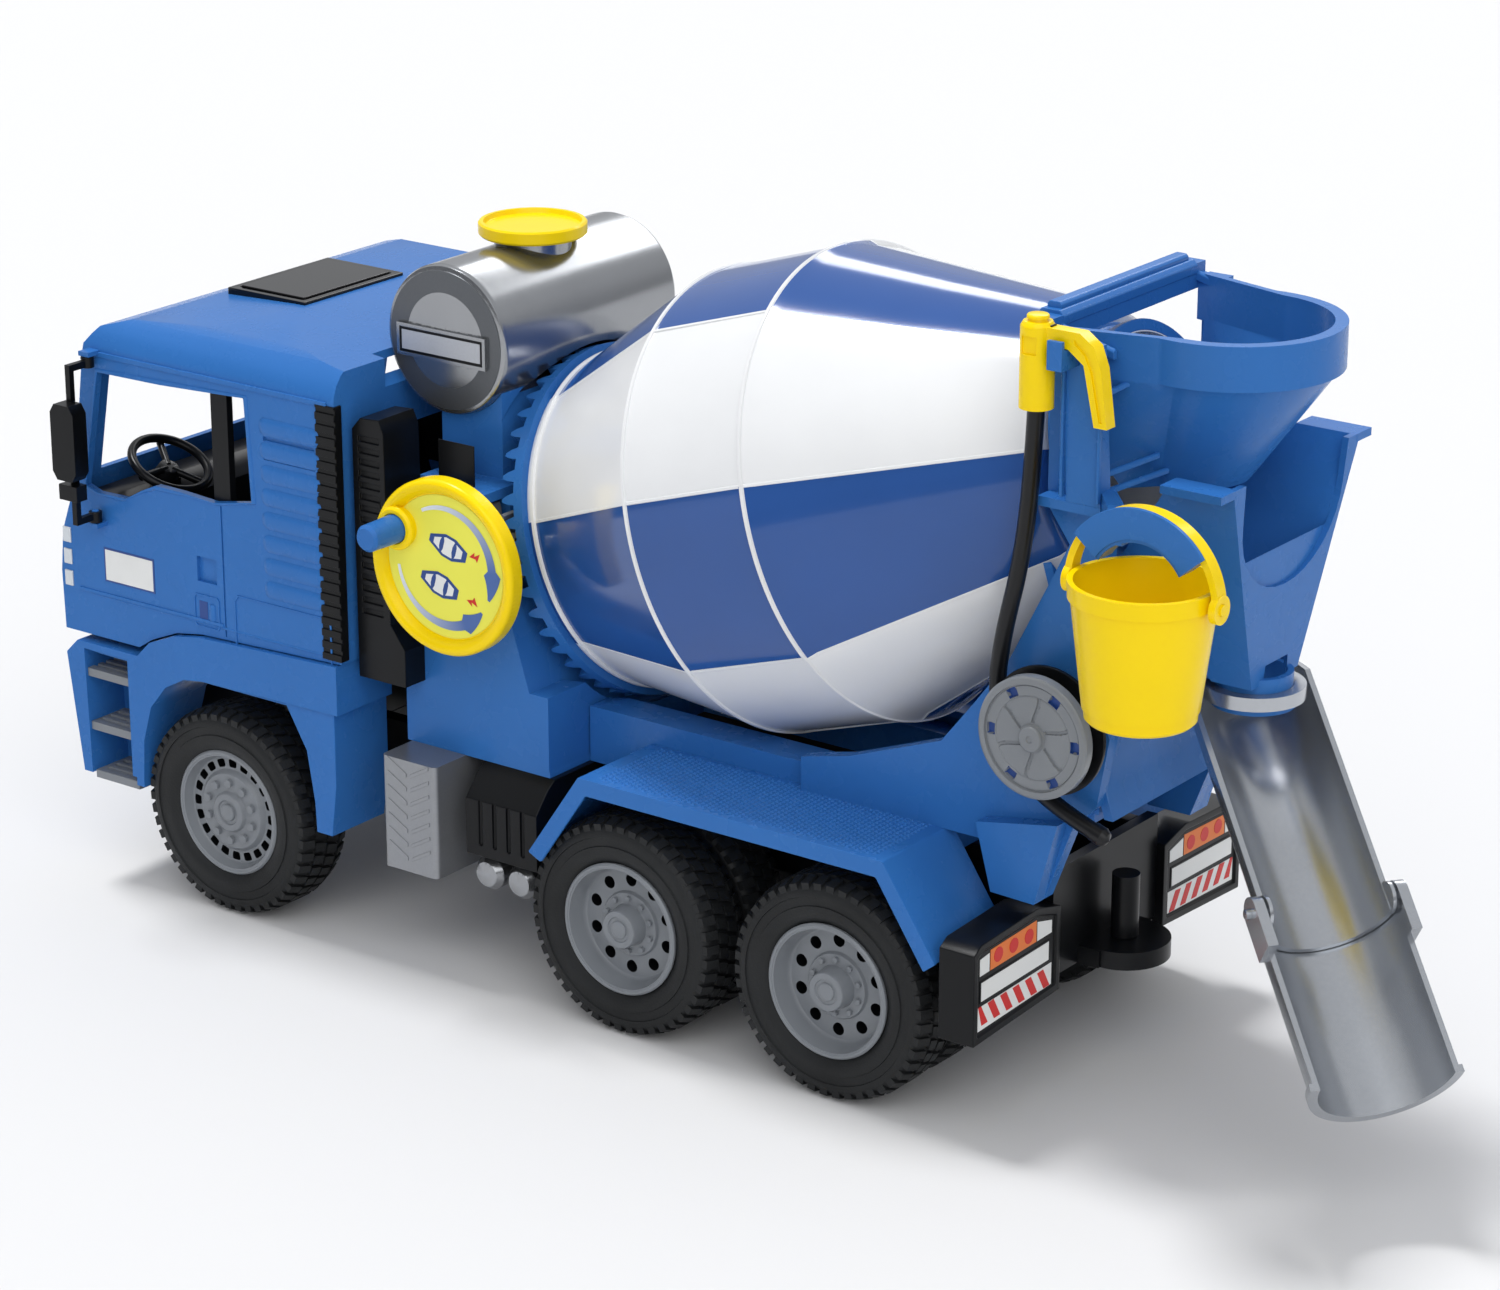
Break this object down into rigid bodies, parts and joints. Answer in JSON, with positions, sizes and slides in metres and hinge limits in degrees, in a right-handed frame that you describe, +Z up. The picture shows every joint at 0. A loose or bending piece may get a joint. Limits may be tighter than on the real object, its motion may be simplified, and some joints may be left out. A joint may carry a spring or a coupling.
{
  "type": "toy concrete mixer truck",
  "caption": "Three-axle toy concrete mixer truck with tilting cab, hand-cranked drum, funnel, swivelling chute, hose reel and hanging pail.",
  "frame": {"origin": "centre of the bounding box on the ground plane that the wheels stand on", "axes": "+X forwards, +Y to the left side with the crank, +Z up"},
  "size_m": [0.5404, 0.1936, 0.2624],
  "materials": {
    "blue_plastic": "moulded, semi-gloss mid blue",
    "drum_plastic": "glossy white with printed royal blue fields",
    "silver_plastic": "moulded silver grey with metal flake",
    "yellow_plastic": "moulded, glossy yellow",
    "grey_plastic": "moulded mid grey, satin",
    "black_plastic": "moulded black, satin",
    "hose_rubber": "smooth black",
    "tyre_rubber": "black, dull tread",
    "steel": "bright drawn wire"
  },
  "bodies": {
    "chassis": {"chassis_frame": "black_plastic", "cab_hinge_pin": "steel", "engine_block": "black_plastic", "front_fenders": "blue_plastic", "step_treads": "grey_plastic", "front_mudguards": "blue_plastic", "tank_tower": "blue_plastic", "air_intake": "black_plastic", "side_boxes": "silver_plastic", "battery_boxes": "black_plastic", "air_tanks": "silver_plastic", "subframe": "blue_plastic", "rear_fenders": "blue_plastic", "lamp_boards": "black_plastic", "tow_coupling": "black_plastic", "rear_stand": "blue_plastic", "gun_post": "blue_plastic", "hopper": "blue_plastic", "trough": "blue_plastic", "tank_half_left": "silver_plastic", "tank_half_right": "silver_plastic", "spray_gun": "yellow_plastic", "cleaning_hose": "hose_rubber", "hose_end": "hose_rubber"},
    "front_wheels": {"front_axle": "steel", "front_rims": "grey_plastic", "front_tyres": "tyre_rubber"},
    "middle_wheels": {"middle_axle": "steel", "middle_rims": "grey_plastic", "middle_tyres": "tyre_rubber"},
    "rear_wheels": {"rear_axle": "steel", "rear_rims": "grey_plastic", "rear_tyres": "tyre_rubber"},
    "tow_pin": {"tow_pin": "black_plastic"},
    "roller_left": {"roller_left": "grey_plastic"},
    "roller_right": {"roller_right": "grey_plastic"},
    "tank_cap": {"tank_cap": "yellow_plastic"},
    "cab": {"cab_shell": "blue_plastic", "cab_interior": "black_plastic", "steering_wheel": "black_plastic", "grille": "black_plastic", "corner_strips": "black_plastic", "roof_hatch": "black_plastic"},
    "mirror_left": {"mirror_left": "black_plastic"},
    "mirror_right": {"mirror_right": "black_plastic"},
    "drum": {"drum_front_shell": "drum_plastic", "drum_rear_shell": "drum_plastic", "drum_fins": "drum_plastic", "ring_gear": "blue_plastic"},
    "crank": {"crank_wheel": "yellow_plastic", "crank_shaft": "steel", "crank_pinion": "grey_plastic"},
    "crank_knob": {"crank_knob": "blue_plastic"},
    "chute_upper": {"chute_upper": "silver_plastic"},
    "chute_extension": {"chute_extension": "silver_plastic"},
    "reel": {"reel_disc": "grey_plastic", "reel_flange": "black_plastic"},
    "bucket_bail": {"bucket_bail": "yellow_plastic"},
    "bucket": {"bucket": "yellow_plastic"}
  },
  "joints": [
    {"name": "front_axle_spin", "type": "hinge", "parent": "chassis", "child": "front_wheels", "pos_m": [0.1922, 0, 0.0375], "axis": [0, 1, 0], "continuous": true},
    {"name": "middle_axle_spin", "type": "hinge", "parent": "chassis", "child": "middle_wheels", "pos_m": [0.0192, 0, 0.0375], "axis": [0, 1, 0], "continuous": true},
    {"name": "rear_axle_spin", "type": "hinge", "parent": "chassis", "child": "rear_wheels", "pos_m": [-0.0638, 0, 0.0375], "axis": [0, 1, 0], "continuous": true},
    {"name": "drum_spin", "type": "hinge", "parent": "chassis", "child": "drum", "pos_m": [0.0862, 0, 0.14337], "axis": [-0.9544, 0, 0.2985], "continuous": true},
    {"name": "crank_spin", "type": "hinge", "parent": "chassis", "child": "crank", "pos_m": [0.0892, 0, 0.1482], "axis": [0, 1, 0], "continuous": true},
    {"name": "crank_knob_spin", "type": "hinge", "parent": "crank", "child": "crank_knob", "pos_m": [0.1078, 0.087, 0.1586], "axis": [0, 1, 0], "continuous": true},
    {"name": "roller_left_spin", "type": "hinge", "parent": "chassis", "child": "roller_left", "pos_m": [-0.1205, 0.02817, 0.15252], "axis": [-0.9544, 0, 0.2985], "continuous": true},
    {"name": "roller_right_spin", "type": "hinge", "parent": "chassis", "child": "roller_right", "pos_m": [-0.1205, -0.02817, 0.15252], "axis": [-0.9544, 0, 0.2985], "continuous": true},
    {"name": "cab_tilt", "type": "hinge", "parent": "chassis", "child": "cab", "pos_m": [0.2582, 0, 0.091], "axis": [0, 1, 0], "range_deg": [0, 40]},
    {"name": "mirror_left_fold", "type": "hinge", "parent": "cab", "child": "mirror_left", "pos_m": [0.2457, 0.0812, 0.164], "axis": [0, 0, 1], "range_deg": [-45, 60]},
    {"name": "mirror_right_fold", "type": "hinge", "parent": "cab", "child": "mirror_right", "pos_m": [0.2457, -0.0812, 0.164], "axis": [0, 0, -1], "range_deg": [-45, 60]},
    {"name": "tank_cap_lift", "type": "slide", "parent": "chassis", "child": "tank_cap", "axis": [0, 0, 1], "range_m": [0, 0.025]},
    {"name": "chute_swivel", "type": "hinge", "parent": "chassis", "child": "chute_upper", "pos_m": [-0.1688, 0, 0.1376], "axis": [0, 0, 1], "range_deg": [-25, 99]},
    {"name": "chute_fold", "type": "hinge", "parent": "chute_upper", "child": "chute_extension", "pos_m": [-0.21727, 0.03653, 0.09186], "axis": [0.6018, 0.7986, 0], "range_deg": [0, 150]},
    {"name": "reel_spin", "type": "hinge", "parent": "chassis", "child": "reel", "pos_m": [-0.1307, 0.06, 0.1342], "axis": [0, 1, 0], "continuous": true},
    {"name": "bucket_lift", "type": "slide", "parent": "chassis", "child": "bucket_bail", "axis": [0, 0, 1], "range_m": [0, 0.004]},
    {"name": "bucket_swing", "type": "hinge", "parent": "bucket_bail", "child": "bucket", "pos_m": [-0.1738, 0.075, 0.1915], "axis": [1, 0, 0], "range_deg": [-20, 20]},
    {"name": "tow_pin_lift", "type": "slide", "parent": "chassis", "child": "tow_pin", "axis": [0, 0, 1], "range_m": [0, 0.015]}
  ],
  "couplings": [
    {"joint": "crank_spin", "follows": "drum_spin", "ratio": -4},
    {"joint": "roller_left_spin", "follows": "drum_spin", "ratio": -4.87},
    {"joint": "roller_right_spin", "follows": "drum_spin", "ratio": -4.87}
  ]
}
